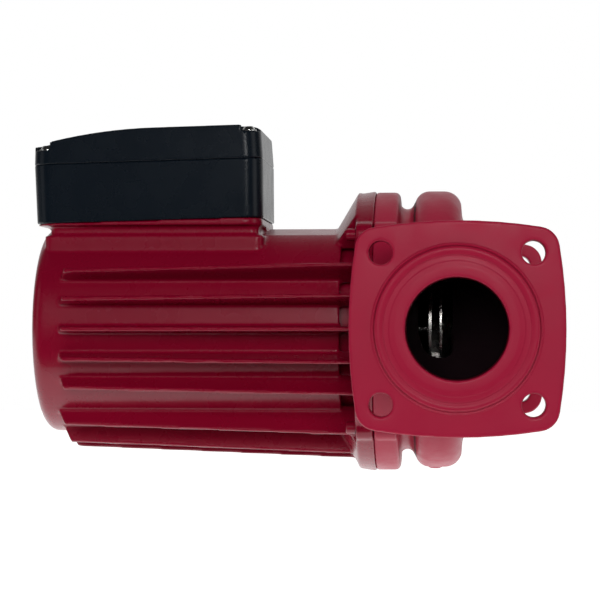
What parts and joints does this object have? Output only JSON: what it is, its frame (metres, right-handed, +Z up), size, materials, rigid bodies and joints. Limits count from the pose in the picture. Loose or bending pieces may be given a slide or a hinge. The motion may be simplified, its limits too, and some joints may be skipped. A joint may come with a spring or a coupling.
{
  "type": "circulator pump",
  "caption": "In-line wet-rotor circulator pump with square port flanges, a finned motor and a terminal box, for moving water round a heating loop.",
  "frame": {"origin": "centre of the inlet port's gasket face", "axes": "+Y leaves through the inlet port along the pipe, +X is along the motor axis away from the motor, +Z is up towards the terminal box"},
  "size_m": [0.2998, 0.25, 0.1991],
  "materials": {
    "pump_red": "satin enamel over cast iron",
    "motor_red": "gloss enamel over cast aluminium",
    "painted_screw": "gloss enamel over steel",
    "stainless": "pressed stainless steel",
    "shaft_steel": "ground stainless steel",
    "rotor_steel": "turned sleeve",
    "lamination": "stacked sheet steel",
    "copper": "enamelled copper wire",
    "carbon": "fine-ground carbon",
    "ceramic": "ground ceramic",
    "seal_rubber": "moulded rubber",
    "black_plastic": "moulded",
    "box_black": "moulded, satin",
    "gland_black": "moulded, satin",
    "plate_aluminium": "satin sheet",
    "plated": "bright zinc plate",
    "brass": "turned",
    "board_green": "lacquered board",
    "block_grey": "moulded",
    "can_white": "moulded can",
    "knob_orange": "moulded",
    "lead_red": "insulated wire"
  },
  "bodies": {
    "frame": {"pump_housing": "pump_red", "neck_ring": "stainless", "front_bearing": "ceramic", "rear_bearing": "ceramic", "bearing_plate": "stainless", "rotor_can": "stainless", "housing_gasket": "seal_rubber", "housing_screws": "painted_screw", "stator_housing": "motor_red", "stator_core": "lamination", "stator_windings": "copper", "stator_end_shield": "motor_red", "nameplate_disc": "plate_aluminium", "box_seat_gasket": "seal_rubber", "box_base": "box_black", "base_screws": "plated", "terminal_board": "board_green", "board_screws": "plated", "terminal_block": "block_grey", "terminal_screws": "brass", "capacitor": "can_white", "capacitor_clip": "black_plastic", "speed_module": "black_plastic", "earth_screw": "brass", "motor_leads": "lead_red", "gland_body": "gland_black", "gland_locknut": "gland_black", "gland_seal": "seal_rubber", "gland_nut": "gland_black", "blanking_plug": "gland_black"},
    "rotor": {"impeller": "stainless", "split_cone": "stainless", "impeller_nut": "stainless", "shaft": "shaft_steel", "rotor_core": "rotor_steel", "thrust_bearing": "carbon", "thrust_retainer": "seal_rubber"},
    "vent_ring": {"vent_seal": "seal_rubber"},
    "vent_screw": {"vent_screw": "plated"},
    "lid": {"box_lid": "box_black", "lid_gasket": "seal_rubber", "lid_screws": "plated"},
    "speed_knob": {"speed_knob": "knob_orange"}
  },
  "joints": [
    {"name": "rotor_spin", "type": "hinge", "parent": "frame", "child": "rotor", "pos_m": [0, -0.125, 0], "axis": [1, 0, 0], "continuous": true},
    {"name": "vent_travel", "type": "slide", "parent": "frame", "child": "vent_ring", "axis": [-1, 0, 0], "range_m": [0, 0.008]},
    {"name": "vent_turn", "type": "hinge", "parent": "vent_ring", "child": "vent_screw", "pos_m": [-0.235, -0.125, 0], "axis": [-1, 0, 0], "range_deg": [0, 1925]},
    {"name": "lid_lift", "type": "slide", "parent": "frame", "child": "lid", "axis": [-0.0262, 0, 0.9997], "range_m": [0, 0.06]},
    {"name": "speed_turn", "type": "hinge", "parent": "frame", "child": "speed_knob", "pos_m": [-0.16983, -0.1055, 0.08508], "axis": [-0.0262, 0, 0.9997], "range_deg": [-60, 60]}
  ],
  "couplings": [
    {"joint": "vent_turn", "follows": "vent_travel", "rad_per_m": 4188.8}
  ]
}
